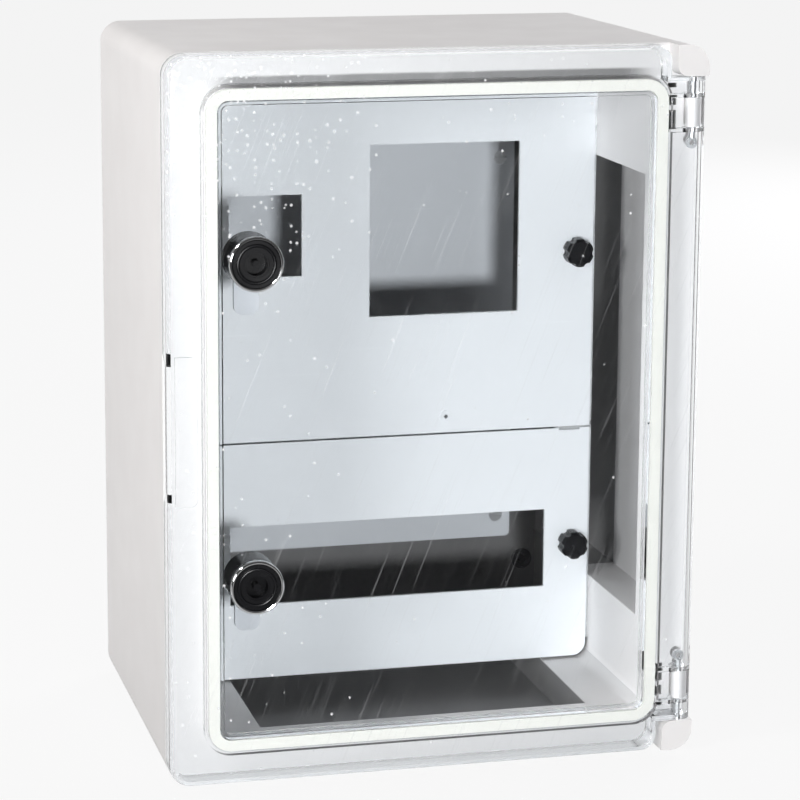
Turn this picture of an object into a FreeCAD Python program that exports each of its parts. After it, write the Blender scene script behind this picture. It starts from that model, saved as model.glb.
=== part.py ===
import FreeCAD, Part
import math
import os
import re
import Sketcher

# Electric meter box: a moulded housing with a clear hinged door, two turn
# locks, two lift-out cover panels on side rails and a rear mounting plate.
# Frame: origin at the centre of the wall face, X right, Y towards the wall,
# Z up, so the door faces -Y. Lengths are millimetres. A "depth" is the
# distance of a plane in front of the wall face.

doc = FreeCAD.newDocument("MeterBox")
sheet = doc.addObject("Spreadsheet::Sheet", "Sizes")

SIZES = [
    # Housing
    ("box_width", 300.0, "outer width"),
    ("box_height", 400.0, "outer height"),
    ("body_depth", 205.0, "wall face to front flange"),
    ("wall", 3.0, "wall of the moulding"),
    ("corner_radius", 12.0, "outer corners seen from the front"),
    ("back_bevel", 3.0, "bevel round the wall face"),
    ("border_side", 26.5, "front flange beside the opening"),
    ("border_end", 23.0, "front flange above and below the opening"),
    ("opening_radius", 8.0, "corner of the opening"),
    ("collar_rise", 8.0, "collar in front of the flange"),
    ("collar_return", 7.5, "collar behind the flange"),
    ("column_upright", 50.5, "corner column, from the end of the opening"),
    ("column_level", 28.5, "corner column, from the side of the opening"),
    ("boss_radius", 6.0, "mounting plate boss"),
    ("boss_height", 7.0, "mounting plate boss above the back wall"),
    ("wall_hole_side", 11.0, "wall fixing holes beside the mounting plate"),
    ("wall_hole_end", 18.0, "wall fixing holes beyond the ends of the mounting plate"),
    ("wall_hole_radius", 3.5, "wall fixing hole"),
    # Clearances
    ("part_gap", 0.3, "between pieces that move past each other"),
    ("run_fit", 0.05, "radial clearance of a turning or plugged fit"),
    ("door_gap", 1.0, "flange to the rear edge of the door"),
    ("lug_gap", 0.5, "corner lug to the door"),
    ("panel_gap", 1.7, "cover panel to the sides of the opening"),
    ("seam_gap", 1.1, "between the two cover panels"),
    # Hinge
    ("hinge_inset", 7.0, "hinge axis from the right side"),
    ("knuckle_gap", 0.4, "housing knuckle to the pane"),
    ("lug_width", 17.8, "corner lug"),
    ("lug_height", 17.2, "corner lug"),
    ("lug_inner_radius", 6.0, "inner corner of the lug"),
    ("pin_radius", 2.0, "hinge pin"),
    ("pin_cover", 8.0, "lug beyond the end of the pin bore"),
    ("pin_eye_offset", 8.7, "middle of the pull eye to the knuckle"),
    ("pin_eye_radius", 3.3, "pull eye"),
    ("pin_eye_hole", 1.6, "hole of the pull eye"),
    ("pin_eye_thickness", 2.0, "pull eye"),
    ("knuckle_radius", 3.6, "housing knuckle"),
    ("knuckle_inset", 27.6, "inner end of the knuckle from the end of the hinge"),
    ("knuckle_length", 16.0, "housing knuckle"),
    ("arm_width", 3.0, "arm from the flange to the knuckle"),
    ("slot_inset", 18.5, "flange slots from the right side"),
    ("slot_width", 5.0, "flange slots"),
    ("slot_low_offset", -2.1, "inner flange slot from the start of the knuckle"),
    ("slot_low_length", 10.4, "inner flange slot"),
    ("slot_mid_offset", 11.1, "middle flange slot from the start of the knuckle"),
    ("slot_mid_length", 5.7, "middle flange slot"),
    ("slot_high_offset", 20.7, "outer flange slot from the start of the knuckle"),
    ("slot_high_length", 2.6, "outer flange slot"),
    # Door
    ("door_depth", 14.0, "rear edge to front face"),
    ("pane", 3.0, "front pane"),
    ("skirt", 2.8, "door side walls and hinge shell"),
    ("door_edge_radius", 4.0, "front edge of the door"),
    ("door_right_radius", 9.0, "door corners beside the lugs"),
    ("door_sweep", 13.3, "door corner from the hinge axis"),
    ("hinge_rib", 2.3, "ribs that carry the pin"),
    ("relief_gap", 0.2, "hinge shell left in front of the knuckle"),
    ("channel_rib", 1.8, "gasket channel rib"),
    ("channel_depth", 5.0, "gasket channel rib behind the pane"),
    ("channel_inner", 2.3, "inner rib inside the opening edge"),
    ("channel_outer", 5.1, "outer rib outside the opening edge"),
    ("gasket_inner", 1.5, "gasket inside the opening edge"),
    ("gasket_outer", 4.5, "gasket outside the opening edge"),
    ("grip_top", 40.0, "upper end of the grip"),
    ("grip_bottom", 42.0, "lower end of the grip"),
    ("grip_width", 16.0, "grip from the left side"),
    ("grip_rise", 1.2, "grip in front of the door"),
    ("grip_radius", 4.0, "inner corners of the grip"),
    ("notch_depth", 7.0, "finger notch in the left door wall"),
    ("notch_slant", 6.0, "sloped ends of the finger notch"),
    # Locks
    ("lock_margin", 3.1, "lock housing to the gasket channel"),
    ("lock_z", 88.6, "lock axis from the middle"),
    ("lock_shoulder", 1.7, "lock housing behind the pane, wider than through it"),
    ("lock_clear", 3.5, "lock housing in front of the rear edge of the collar"),
    ("lock_boss_radius", 12.8, "lock housing through the pane"),
    ("lock_boss_rise", 1.5, "lock housing in front of the pane"),
    ("lock_seal", 1.0, "rubber washer behind the pane"),
    ("bezel_width", 2.2, "chrome ring"),
    ("bezel_rise", 2.5, "chrome ring in front of the pane"),
    ("bezel_bevel", 0.8, "outer edge of the chrome ring"),
    ("rotor_step", 1.0, "turning insert wider than the hole for its shaft"),
    ("rotor_sink", 0.5, "insert below the lock front"),
    ("rotor_shoulder", 2.0, "lock wall behind the insert"),
    ("key_wall", 0.8, "insert round its key recess"),
    ("key_pin_radius", 2.0, "pin in the key recess"),
    ("key_depth", 6.0, "key recess"),
    ("shaft_width", 8.0, "square shaft of the insert"),
    ("shaft_gap", 0.35, "corners of the shaft to their hole"),
    ("cam_gap", 0.9, "collar rear edge to the lock cam"),
    ("cam_thickness", 2.5, "lock cam"),
    ("cam_width", 14.0, "lock cam"),
    ("cam_reach", 32.0, "lock cam from its axis"),
    ("cam_radius", 5.0, "lock cam corners"),
    ("cam_screw_radius", 2.4, "cam screw shank"),
    ("cam_screw_length", 8.0, "cam screw shank"),
    ("cam_head_radius", 4.5, "cam screw head"),
    ("cam_head_height", 2.5, "cam screw head"),
    # Cover panels and their knobs
    ("panel_back", 110.0, "depth of the panel rear face"),
    ("panel", 2.0, "cover panel"),
    ("panel_end_gap", 1.5, "panel to the top and bottom of the opening"),
    ("panel_radius", 8.0, "outer corners of the panels"),
    ("seam_z", 34.65, "middle of the panel seam below the centre"),
    ("meter_left", 12.75, "meter window, left of the centre"),
    ("meter_width", 89.15, "meter window"),
    ("meter_bottom", 36.4, "meter window above the centre"),
    ("meter_height", 99.8, "meter window"),
    ("window_side", 26.8, "small and breaker windows from the sides of the panels"),
    ("small_width", 42.4, "small window"),
    ("small_bottom", 61.9, "small window above the centre"),
    ("small_height", 47.1, "small window"),
    ("rail_window_top", 84.0, "breaker window below the centre"),
    ("rail_window_height", 47.2, "breaker window"),
    ("seam_notch_side", 5.8, "seam notch from the side of the panel"),
    ("seam_notch_width", 13.0, "seam notch"),
    ("seam_notch_depth", 1.2, "seam notch"),
    ("eye_x", 33.5, "seal eye, right of the centre"),
    ("eye_z", 24.5, "seal eye below the centre"),
    ("eye_radius", 3.6, "seal eye"),
    ("eye_rise", 0.8, "seal eye in front of the panel"),
    ("eye_hole", 1.1, "seal eye hole radius"),
    ("knob_side", 12.1, "knob axes from the sides of the opening"),
    ("knob_upper_z", 70.5, "upper knobs above the centre"),
    ("knob_lower_z", 105.2, "lower knobs below the centre"),
    ("knob_radius", 8.25, "knob"),
    ("knob_height", 9.5, "knob"),
    ("knob_lobes", 6.0, "hollows round the knob"),
    ("knob_hollow_radius", 2.2, "hollow"),
    ("knob_hollow_out", 0.95, "hollow axis outside the knob"),
    ("knob_bevel", 1.5, "front edge of the knob"),
    ("stem_radius", 3.0, "knob stem"),
    ("latch_reach", 9.5, "latch tab from the knob axis"),
    ("latch_half_width", 4.5, "latch tab"),
    ("latch_thickness", 1.5, "latch tab"),
    ("latch_play", 0.5, "latch tab to its slot"),
    # Side rails
    ("rail_end", 12.0, "rails to the ends of the opening"),
    ("rail_width", 22.5, "front flange of the rail"),
    ("rail_depth", 20.0, "side flange of the rail"),
    ("rail_sheet", 1.5, "rail material"),
    ("rail_screw_drop", 13.0, "rail screws behind the panels"),
    ("rail_screw_end", 15.0, "rail screws from the ends of the rails"),
    ("rail_screw_radius", 2.0, "rail screw shank"),
    ("rail_screw_length", 6.0, "rail screw shank"),
    ("rail_head_radius", 3.5, "rail screw head"),
    ("rail_head_height", 2.2, "rail screw head"),
    # Mounting plate
    ("plate_side", 19.5, "mounting plate to the sides of the opening"),
    ("plate_end", 50.0, "mounting plate to the ends of the opening"),
    ("plate", 2.0, "mounting plate"),
    ("plate_radius", 3.0, "mounting plate corners"),
    ("plate_screw_side", 9.0, "plate screws from the sides of the plate"),
    ("plate_screw_end", 14.0, "plate screws from the ends of the plate"),
    ("plate_screw_radius", 2.5, "plate screw shank"),
    ("plate_screw_length", 8.0, "plate screw shank"),
    ("plate_head_radius", 4.2, "countersunk plate screw head"),
    ("plate_head_sink", 0.1, "plate screw head below the face of the plate"),
    ("slot_cut", 1.0, "driver slot in the screw heads"),
    ("washer_radius", 6.5, "rubber washer at a wall fixing hole"),
    ("washer_hole_radius", 3.8, "rubber washer"),
    ("washer_thickness", 1.5, "rubber washer"),
]
for row, (name, number, note) in enumerate(SIZES, 1):
    sheet.set("A%d" % row, note)
    sheet.set("B%d" % row, str(number))
    sheet.setAlias("B%d" % row, name)
doc.recompute()

NAMES = {name for name, number, note in SIZES}
TOUCH = 0.01
AXES = {"x": FreeCAD.Vector(1, 0, 0), "y": FreeCAD.Vector(0, 1, 0), "z": FreeCAD.Vector(0, 0, 1)}
SIDES = ((1, "upper"), (-1, "lower"))

# Formulas used by several pieces
HALF_WIDTH = "(box_width / 2)"
HALF_HEIGHT = "(box_height / 2)"
HALF_OPEN_X = "(box_width / 2 - border_side)"
HALF_OPEN_Z = "(box_height / 2 - border_end)"
SIDE_RECESS = f"({HALF_OPEN_Z} - column_upright)"
TOP_RECESS = f"({HALF_OPEN_X} - column_level)"
CORE_BEVEL = "(corner_radius / 2)"
COLLAR_TIP = "(body_depth + collar_rise)"
COLLAR_REAR = "(body_depth - wall - collar_return)"
HINGE_X = "(box_width / 2 - hinge_inset)"
DOOR_BACK = "(body_depth + door_gap)"
DOOR_FRONT = "(body_depth + door_gap + door_depth)"
PANE_BACK = f"({DOOR_FRONT} - pane)"
HINGE_DEPTH = f"({PANE_BACK} - knuckle_gap - knuckle_radius)"
SHELL_RADIUS = "(pane + knuckle_gap + knuckle_radius)"
HINGE_END = "(box_height / 2 - lug_height - lug_gap)"
KNUCKLE_START = f"({HINGE_END} - knuckle_inset)"
KNUCKLE_END = f"({KNUCKLE_START} + knuckle_length)"
PIN_REACH = "(box_height / 2 - pin_cover)"
PIN_EYE_Z = f"({KNUCKLE_START} - pin_eye_offset)"
LOCK_RADIUS = "(lock_boss_radius + lock_shoulder)"
LOCK_X = f"(channel_inner + channel_rib + lock_margin + {LOCK_RADIUS} - {HALF_OPEN_X})"
LOCK_BACK = f"({COLLAR_REAR} + lock_clear)"
LOCK_FRONT = f"({DOOR_FRONT} + lock_boss_rise)"
SHAFT_HOLE_RADIUS = "(shaft_width / sqrt(2) + shaft_gap)"
ROTOR_RADIUS = f"({SHAFT_HOLE_RADIUS} + rotor_step)"
CAM_BACK = f"({COLLAR_REAR} - cam_gap - cam_thickness)"
PANEL_FRONT = "(panel_back + panel)"
PANEL_HALF = f"({HALF_OPEN_X} - panel_gap)"
PANEL_END = f"({HALF_OPEN_Z} - panel_end_gap)"
WINDOW_HALF = f"({PANEL_HALF} - window_side)"
KNOB_X = f"({HALF_OPEN_X} - knob_side)"
RAIL_BACK = "(panel_back - rail_sheet)"
RAIL_HALF = f"({HALF_OPEN_Z} - rail_end)"
RAIL_SCREW_Z = f"({RAIL_HALF} - rail_screw_end)"
RAIL_SCREW_DEPTH = "(panel_back - rail_screw_drop)"
LATCH_BACK = "(panel_back - rail_sheet - part_gap - latch_thickness)"
PLATE_FRONT = "(wall + boss_height + plate)"
PLATE_HALF_X = f"({HALF_OPEN_X} - plate_side)"
PLATE_HALF_Z = f"({HALF_OPEN_Z} - plate_end)"
PLATE_SCREW_X = f"({PLATE_HALF_X} - plate_screw_side)"
PLATE_SCREW_Z = f"({PLATE_HALF_Z} - plate_screw_end)"
WALL_HOLE_X = f"({PLATE_HALF_X} + wall_hole_side)"
WALL_HOLE_Z = f"({PLATE_HALF_Z} + wall_hole_end)"


def formula(text):
    # A formula in sheet names, written the way a document expression wants it.
    return re.sub(r"[a-z][a-z_]*", lambda found: name_of(found.group()), text)


def name_of(word):
    return "Sizes." + word if word in NAMES else word


def size(name):
    return float(sheet.get(name))


def new_body(label):
    body = doc.addObject("PartDesign::Body", label)
    body.Label = label
    return body


def sketch_on(body, name, role, offset):
    # Empty sketch parallel to one of the body's own origin planes.
    plane = next(item for item in body.Origin.OriginFeatures if item.Role == role)
    sketch = body.newObject("Sketcher::SketchObject", name)
    sketch.AttachmentSupport = [(plane, "")]
    sketch.MapMode = "FlatFace"
    sketch.setExpression("AttachmentOffset.Base.z", formula(offset))
    return sketch


def at_depth(body, name, depth):
    # Sketch seen from the front: x is X, y is Z, and a pad grows towards the door.
    return sketch_on(body, name, "XZ_Plane", depth)


def at_height(body, name, height):
    return sketch_on(body, name, "XY_Plane", height)


def fix_point(sketch, geometry, point, x, y, start):
    # Holds one point at a formula distance from the sketch origin.
    for kind, text, number in (("DistanceX", x, start[0]), ("DistanceY", y, start[1])):
        index = sketch.addConstraint(Sketcher.Constraint(kind, -1, 1, geometry, point, number))
        sketch.setExpression("Constraints[%d]" % index, formula(text))


def outline(sketch, points):
    # Closed polygon through points given as pairs of formulas.
    first = sketch.GeometryCount
    count = len(points)
    turns = [2 * math.pi * index / count for index in range(count)]
    ring = [FreeCAD.Vector(3 + math.cos(turn), 3 + math.sin(turn), 0) for turn in turns]
    for index in range(count):
        sketch.addGeometry(Part.LineSegment(ring[index], ring[(index + 1) % count]), False)
    for index in range(count):
        following = first + (index + 1) % count
        sketch.addConstraint(Sketcher.Constraint("Coincident", first + index, 2, following, 1))
    for index, (x, y) in enumerate(points):
        fix_point(sketch, first + index, 1, x, y, (ring[index].x, ring[index].y))


def rectangle(sketch, left, right, low, high):
    outline(sketch, [(left, low), (right, low), (right, high), (left, high)])


def rounded(sketch, left, right, low, high, radius):
    # Rectangle with round corners: four arcs about fixed centres, joined by lines.
    first = sketch.GeometryCount
    places = [(f"({right}) - ({radius})", f"({high}) - ({radius})"),
              (f"({left}) + ({radius})", f"({high}) - ({radius})"),
              (f"({left}) + ({radius})", f"({low}) + ({radius})"),
              (f"({right}) - ({radius})", f"({low}) + ({radius})")]
    starts = [(8, 8), (4, 8), (4, 4), (8, 4)]
    arcs = []
    for index, (x, y) in enumerate(starts):
        full = Part.Circle(FreeCAD.Vector(x, y, 0), AXES["z"], 1)
        arc = Part.ArcOfCircle(full, index * math.pi / 2, (index + 1) * math.pi / 2)
        arcs.append(arc)
        sketch.addGeometry(arc, False)
    for index in range(4):
        following = arcs[(index + 1) % 4]
        sketch.addGeometry(Part.LineSegment(arcs[index].EndPoint, following.StartPoint), False)
    for index in range(4):
        arc = first + index
        line = first + 4 + index
        following = first + (index + 1) % 4
        level, plumb = ("Horizontal", "Vertical") if index % 2 == 0 else ("Vertical", "Horizontal")
        sketch.addConstraint(Sketcher.Constraint("Coincident", line, 1, arc, 2))
        sketch.addConstraint(Sketcher.Constraint("Coincident", line, 2, following, 1))
        sketch.addConstraint(Sketcher.Constraint(level, arc, 3, arc, 1))
        sketch.addConstraint(Sketcher.Constraint(plumb, arc, 3, arc, 2))
        fix_point(sketch, arc, 3, places[index][0], places[index][1], starts[index])
        index = sketch.addConstraint(Sketcher.Constraint("Radius", arc, 1))
        sketch.setExpression("Constraints[%d]" % index, formula(radius))


def centred(sketch, half_x, half_z, radius):
    rounded(sketch, f"-({half_x})", half_x, f"-({half_z})", half_z, radius)


def opening_loop(sketch, offset):
    # The outline of the opening, moved outwards by an offset.
    centred(sketch, f"{HALF_OPEN_X} + {offset}", f"{HALF_OPEN_Z} + {offset}", f"opening_radius + {offset}")


def circle(sketch, x, y, radius):
    geometry = sketch.addGeometry(Part.Circle(FreeCAD.Vector(3, 3, 0), AXES["z"], 1), False)
    fix_point(sketch, geometry, 3, x, y, (3, 3))
    index = sketch.addConstraint(Sketcher.Constraint("Radius", geometry, 1))
    sketch.setExpression("Constraints[%d]" % index, formula(radius))


def extrude(kind, body, name, sketch, length, backwards=False, both_ways=False):
    feature = body.newObject(kind, name)
    feature.Profile = sketch
    feature.setExpression("Length", formula(length))
    feature.Reversed = backwards
    if both_ways:
        feature.SideType = "Symmetric"
    return feature


def pad(body, name, sketch, length, backwards=False, both_ways=False):
    return extrude("PartDesign::Pad", body, name, sketch, length, backwards, both_ways)


def pocket(body, name, sketch, length, backwards=False, both_ways=False):
    return extrude("PartDesign::Pocket", body, name, sketch, length, backwards, both_ways)


def trim_edges(kind, body, name, chosen):
    # Works on the edges of the body so far that a test picks out by their place.
    doc.recompute()
    base = body.Tip
    edges = ["Edge%d" % (index + 1) for index, edge in enumerate(base.Shape.Edges) if chosen(edge)]
    feature = body.newObject(kind, name)
    feature.Base = (base, edges)
    return feature


def round_edges(body, name, radius, chosen):
    trim_edges("PartDesign::Fillet", body, name, chosen).setExpression("Radius", formula(radius))


def bevel_edges(body, name, width, chosen):
    trim_edges("PartDesign::Chamfer", body, name, chosen).setExpression("Size", formula(width))


def along(edge, axis):
    # True for a straight edge that runs along the named axis.
    way = edge.Vertexes[-1].Point - edge.Vertexes[0].Point
    return way.Length > TOUCH and way.cross(AXES[axis]).Length < TOUCH * way.Length


def near(first, second):
    return abs(first - second) < TOUCH


def in_plane(edge, axis, value):
    return all(near(vertex.Point.dot(AXES[axis]), value) for vertex in edge.Vertexes)


def corner(edge, x, z):
    # True for an edge along Y whose distance from the centre lines is x and z.
    point = edge.Vertexes[0].Point
    return along(edge, "y") and near(abs(point.x), x) and near(abs(point.z), z)


WAYS = {
    "front": FreeCAD.Rotation(AXES["x"], 90),
    "back": FreeCAD.Rotation(AXES["x"], -90),
    "right": FreeCAD.Rotation(AXES["y"], 90),
    "left": FreeCAD.Rotation(AXES["y"], -90),
    "up": FreeCAD.Rotation(),
}


def place(item, x, depth, z):
    for axis, text in (("x", x), ("y", f"-({depth})"), ("z", z)):
        item.setExpression("Placement.Base." + axis, formula(text))


def rod(name, way, radius, length, x, depth, z):
    # Cylinder that starts at a point and grows one way.
    item = doc.addObject("Part::Cylinder", name)
    item.Placement.Rotation = WAYS[way]
    item.setExpression("Radius", formula(radius))
    item.setExpression("Height", formula(length))
    place(item, x, depth, z)
    return item


def hexagon(name, way, radius, length, x, depth, z):
    # Six-sided head; the radius reaches its corners.
    item = doc.addObject("Part::Prism", name)
    item.Polygon = 6
    item.Placement.Rotation = WAYS[way]
    item.setExpression("Circumradius", formula(radius))
    item.setExpression("Height", formula(length))
    place(item, x, depth, z)
    return item


def block(name, left, right, back, front, low, high):
    # Box between two planes each way; back and front are depths.
    item = doc.addObject("Part::Box", name)
    item.setExpression("Length", formula(f"({right}) - ({left})"))
    item.setExpression("Width", formula(f"({front}) - ({back})"))
    item.setExpression("Height", formula(f"({high}) - ({low})"))
    place(item, left, front, low)
    return item


def fused(name, items):
    item = doc.addObject("Part::MultiFuse", name)
    item.Shapes = items
    return item


def cut(name, base, tool):
    item = doc.addObject("Part::Cut", name)
    item.Base = base
    item.Tool = tool
    return item


def grouped(name, items):
    item = doc.addObject("Part::Compound", name)
    item.Links = items
    item.Label = name
    return item


# box_body: one moulding. The walls, the front flange with its collar, and four
# hollow columns in the corners that open towards the wall.
housing = new_body("box_body")
sketch = at_depth(housing, "shell_outline", "0")
rectangle(sketch, f"-{HALF_WIDTH}", HALF_WIDTH, f"-{HALF_HEIGHT}", HALF_HEIGHT)
pad(housing, "shell", sketch, "body_depth")

sketch = at_depth(housing, "lug_outlines", "body_depth")
lug_low = f"({HALF_HEIGHT} - lug_height)"
rectangle(sketch, f"{HALF_WIDTH} - lug_width", HALF_WIDTH, lug_low, HALF_HEIGHT)
rectangle(sketch, f"{HALF_WIDTH} - lug_width", HALF_WIDTH, f"-{HALF_HEIGHT}", f"-{lug_low}")
pad(housing, "lugs", sketch, "door_gap + door_depth")

outer_x = size("box_width") / 2
outer_z = size("box_height") / 2
round_edges(housing, "outer_corners", "corner_radius", lambda edge: corner(edge, outer_x, outer_z))
lug_x = outer_x - size("lug_width")
lug_z = outer_z - size("lug_height")
round_edges(housing, "lug_corners", "lug_inner_radius", lambda edge: corner(edge, lug_x, lug_z))
bevel_edges(housing, "wall_face_edge", "back_bevel", lambda edge: in_plane(edge, "y", 0))

sketch = at_depth(housing, "collar_outline", "body_depth")
opening_loop(sketch, "wall")
pad(housing, "collar", sketch, "collar_rise")
sketch = at_depth(housing, "opening_outline", COLLAR_TIP)
opening_loop(sketch, "0")
pocket(housing, "opening", sketch, f"{COLLAR_TIP} - wall")

recess_length = f"{COLLAR_REAR} - wall"
sketch = at_depth(housing, "side_recess_outline", "wall")
rectangle(sketch, f"wall - {HALF_WIDTH}", f"{HALF_WIDTH} - wall", f"-{SIDE_RECESS}", SIDE_RECESS)
pocket(housing, "side_recesses", sketch, recess_length, backwards=True)
sketch = at_depth(housing, "top_recess_outline", "wall")
rectangle(sketch, f"-{TOP_RECESS}", TOP_RECESS, f"wall - {HALF_HEIGHT}", f"{HALF_HEIGHT} - wall")
pocket(housing, "top_recesses", sketch, recess_length, backwards=True)

sketch = at_depth(housing, "flange_rear_outline", COLLAR_REAR)
for sign in ("", "-"):
    rectangle(sketch, f"{sign}({HALF_OPEN_X} + wall)", f"{sign}({HALF_WIDTH} - wall)",
              f"-{SIDE_RECESS}", SIDE_RECESS)
    rectangle(sketch, f"-{TOP_RECESS}", TOP_RECESS,
              f"{sign}({HALF_OPEN_Z} + wall)", f"{sign}({HALF_HEIGHT} - wall)")
pocket(housing, "flange_rear", sketch, "collar_return", backwards=True)

core_points = (
    (f"{HALF_OPEN_X} + wall", f"{SIDE_RECESS} + wall"), (f"{HALF_WIDTH} - wall", f"{SIDE_RECESS} + wall"),
    (f"{HALF_WIDTH} - wall", f"{HALF_HEIGHT} - wall - {CORE_BEVEL}"),
    (f"{HALF_WIDTH} - wall - {CORE_BEVEL}", f"{HALF_HEIGHT} - wall"),
    (f"{TOP_RECESS} + wall", f"{HALF_HEIGHT} - wall"), (f"{TOP_RECESS} + wall", f"{HALF_OPEN_Z} + wall"),
    (f"{HALF_OPEN_X} + wall", f"{HALF_OPEN_Z} + wall"))
sketch = at_depth(housing, "core_outlines", "0")
for x_sign in ("", "-"):
    for z_sign in ("", "-"):
        outline(sketch, [(f"{x_sign}({x})", f"{z_sign}({z})") for x, z in core_points])
pocket(housing, "column_cores", sketch, "body_depth - wall", backwards=True)

sketch = at_depth(housing, "boss_outlines", "wall")
for x in (PLATE_SCREW_X, f"-{PLATE_SCREW_X}"):
    for z in (PLATE_SCREW_Z, f"-{PLATE_SCREW_Z}"):
        circle(sketch, x, z, "boss_radius")
pad(housing, "bosses", sketch, "boss_height")
sketch = at_depth(housing, "boss_hole_outlines", "wall + boss_height")
for x in (PLATE_SCREW_X, f"-{PLATE_SCREW_X}"):
    for z in (PLATE_SCREW_Z, f"-{PLATE_SCREW_Z}"):
        circle(sketch, x, z, "plate_screw_radius + run_fit")
pocket(housing, "boss_holes", sketch, "boss_height")
sketch = at_depth(housing, "wall_hole_outlines", "wall")
for x in (WALL_HOLE_X, f"-{WALL_HOLE_X}"):
    for z in (WALL_HOLE_Z, f"-{WALL_HOLE_Z}"):
        circle(sketch, x, z, "wall_hole_radius")
pocket(housing, "wall_holes", sketch, "wall")

for sign, side in SIDES:
    sketch = at_height(housing, side + "_arm_outline", f"{sign} * {KNUCKLE_START}")
    rectangle(sketch, f"{HINGE_X} - arm_width / 2", f"{HINGE_X} + arm_width / 2",
              f"-{HINGE_DEPTH}", "-body_depth")
    pad(housing, side + "_arm", sketch, "knuckle_length", backwards=sign < 0)
    sketch = at_height(housing, side + "_knuckle_outline", f"{sign} * {KNUCKLE_START}")
    circle(sketch, HINGE_X, f"-{HINGE_DEPTH}", "knuckle_radius")
    pad(housing, side + "_knuckle", sketch, "knuckle_length", backwards=sign < 0)
sketch = at_height(housing, "pin_bore_outline", "0")
circle(sketch, HINGE_X, f"-{HINGE_DEPTH}", "pin_radius + run_fit")
pocket(housing, "pin_bore", sketch, f"2 * {PIN_REACH}", both_ways=True)

sketch = at_depth(housing, "hinge_slot_outlines", "body_depth")
for sign in ("", "-"):
    for slot in ("low", "mid", "high"):
        rectangle(sketch, f"{HALF_WIDTH} - slot_inset", f"{HALF_WIDTH} - slot_inset + slot_width",
                  f"{sign}({KNUCKLE_START} + slot_{slot}_offset)",
                  f"{sign}({KNUCKLE_START} + slot_{slot}_offset + slot_{slot}_length)")
pocket(housing, "hinge_slots", sketch, "wall")

sketch = sketch_on(housing, "rail_hole_outlines", "YZ_Plane", "0")
circle(sketch, f"-{RAIL_SCREW_DEPTH}", RAIL_SCREW_Z, "rail_screw_radius + run_fit")
circle(sketch, f"-{RAIL_SCREW_DEPTH}", f"-{RAIL_SCREW_Z}", "rail_screw_radius + run_fit")
pocket(housing, "rail_holes", sketch, f"2 * ({HALF_OPEN_X} + wall)", both_ways=True)

# hinge_pin: steel rod through lug, door ribs and knuckle, with a flat pull eye.
pins = []
for sign, side in SIDES:
    start = f"{PIN_EYE_Z} + pin_eye_radius - pin_eye_hole / 2"
    end = f"{PIN_REACH} - part_gap"
    low = start if sign > 0 else f"-({end})"
    shank = rod(side + "_pin_shank", "up", "pin_radius", f"({end}) - ({start})", HINGE_X, HINGE_DEPTH, low)
    eye = rod(side + "_pin_eye", "front", "pin_eye_radius", "pin_eye_thickness",
              HINGE_X, f"{HINGE_DEPTH} - pin_eye_thickness / 2", f"{sign} * {PIN_EYE_Z}")
    hole = rod(side + "_pin_eye_hole", "front", "pin_eye_hole", "2 * pin_eye_thickness",
               HINGE_X, f"{HINGE_DEPTH} - pin_eye_thickness", f"{sign} * {PIN_EYE_Z}")
    pin = cut("hinge_pin_" + side, fused(side + "_pin_solid", [shank, eye]), hole)
    pin.Label = "hinge_pin_" + side
    pins.append(pin)

# door_cover: clear moulded cover. Its right edge wraps round the hinge axis.
door = new_body("door_cover")
door_right = f"({HINGE_X} - door_sweep)"
sketch = at_depth(door, "door_outline", DOOR_BACK)
rectangle(sketch, f"-{HALF_WIDTH}", door_right, f"-{HALF_HEIGHT}", HALF_HEIGHT)
pad(door, "door_block", sketch, "door_depth")
sweep_x = outer_x - size("hinge_inset") - size("door_sweep")
door_front = size("body_depth") + size("door_gap") + size("door_depth")
round_edges(door, "left_corners", "corner_radius",
            lambda edge: corner(edge, outer_x, outer_z) and edge.CenterOfMass.x < 0)
round_edges(door, "right_corners", "door_right_radius",
            lambda edge: corner(edge, sweep_x, outer_z) and edge.CenterOfMass.x > 0)
round_edges(door, "front_edge", "door_edge_radius", lambda edge: in_plane(edge, "y", -door_front))
sketch = at_depth(door, "hollow_outline", DOOR_BACK)
rounded(sketch, f"skirt - {HALF_WIDTH}", f"{door_right} - skirt", f"skirt - {HALF_HEIGHT}",
        f"{HALF_HEIGHT} - skirt", "corner_radius - skirt")
pocket(door, "door_hollow", sketch, "door_depth - pane", backwards=True)
sketch = at_depth(door, "hinge_side_outline", DOOR_BACK)
rectangle(sketch, f"{door_right} - skirt", f"{door_right} + skirt", f"-{HINGE_END}", HINGE_END)
pocket(door, "hinge_side", sketch, "door_depth - pane", backwards=True)
sketch = at_depth(door, "hinge_strip_outline", PANE_BACK)
rectangle(sketch, f"{door_right} - door_edge_radius", HINGE_X, f"-{HINGE_END}", HINGE_END)
pad(door, "hinge_strip", sketch, "pane")

shell = door.newObject("PartDesign::AdditiveCylinder", "hinge_shell")
shell_bore = door.newObject("PartDesign::SubtractiveCylinder", "hinge_shell_bore")
for part, radius in ((shell, SHELL_RADIUS), (shell_bore, f"{SHELL_RADIUS} - skirt")):
    part.Placement.Rotation = FreeCAD.Rotation(AXES["z"], -90)
    part.setExpression("Radius", formula(radius))
    part.setExpression("Height", formula(f"2 * {HINGE_END}"))
    part.Angle = 90
    place(part, HINGE_X, HINGE_DEPTH, f"-{HINGE_END}")

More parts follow.
